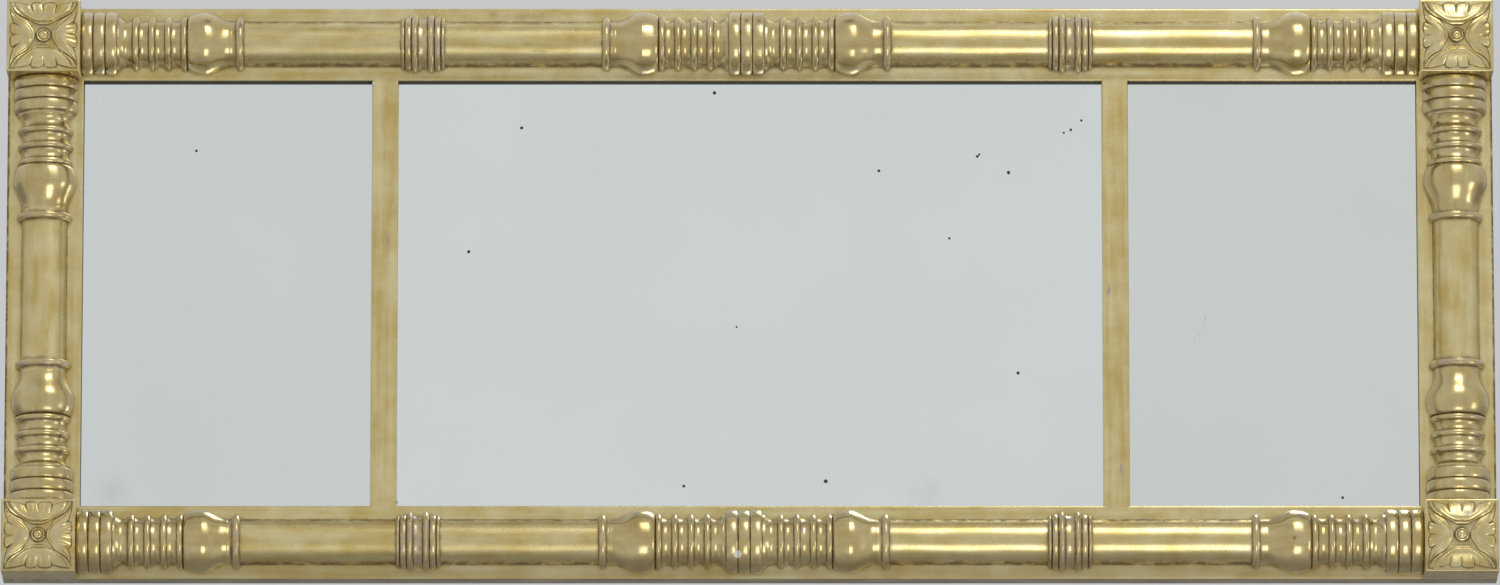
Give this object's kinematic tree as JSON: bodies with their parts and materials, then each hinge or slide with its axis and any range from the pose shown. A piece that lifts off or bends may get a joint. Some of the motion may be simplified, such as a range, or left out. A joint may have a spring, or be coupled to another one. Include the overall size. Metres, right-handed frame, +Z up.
{
  "type": "overmantel mirror",
  "caption": "Wide gilt pine overmantel mirror in panes, with split turned columns, collars and rosette corner blocks; stands on a mantel shelf and ties back by hinged D-rings.",
  "frame": {"origin": "middle of the bottom rail's underside, halfway through the frame's thickness", "axes": "+X to the viewer's right along the width, +Y back towards the wall, +Z up"},
  "size_m": [1.524, 0.0796, 0.597],
  "materials": {
    "gilded_wood": "leaf gilt on gesso, worn",
    "bare_pine": "sawn, aged, unfinished",
    "mirror_glass": "old silvered plate",
    "iron": "dark cut nails",
    "brass": "stamped, dulled"
  },
  "bodies": {
    "frame": {"backboard_nails": "iron", "block_nails": "iron", "bottom_backboard": "bare_pine", "bottom_column": "gilded_wood", "bottom_left_block": "gilded_wood", "bottom_left_button": "gilded_wood", "bottom_left_rosette": "gilded_wood", "bottom_rail": "gilded_wood", "bottom_right_block": "gilded_wood", "bottom_right_button": "gilded_wood", "bottom_right_rosette": "gilded_wood", "centre_mirror_plate": "mirror_glass", "centre_plate_wedges": "bare_pine", "column_nails": "iron", "divider_nails": "iron", "hanger_screws": "brass", "left_column": "gilded_wood", "left_divider": "gilded_wood", "left_hanger_strap": "brass", "left_mirror_plate": "mirror_glass", "left_plate_wedges": "bare_pine", "left_stile": "gilded_wood", "middle_backboard": "bare_pine", "right_column": "gilded_wood", "right_divider": "gilded_wood", "right_hanger_strap": "brass", "right_mirror_plate": "mirror_glass", "right_plate_wedges": "bare_pine", "right_stile": "gilded_wood", "top_backboard": "bare_pine", "top_column": "gilded_wood", "top_left_block": "gilded_wood", "top_left_button": "gilded_wood", "top_left_rosette": "gilded_wood", "top_rail": "gilded_wood", "top_right_block": "gilded_wood", "top_right_button": "gilded_wood", "top_right_rosette": "gilded_wood"},
    "left_ring": {"left_hanger_ring": "brass"},
    "right_ring": {"right_hanger_ring": "brass"}
  },
  "joints": [
    {"name": "left_ring_hinge", "type": "hinge", "parent": "frame", "child": "left_ring", "pos_m": [-0.731, 0.01629, 0.485], "axis": [1, 0, 0], "range_deg": [0, 180]},
    {"name": "right_ring_hinge", "type": "hinge", "parent": "frame", "child": "right_ring", "pos_m": [0.731, 0.01629, 0.485], "axis": [1, 0, 0], "range_deg": [0, 180]}
  ]
}
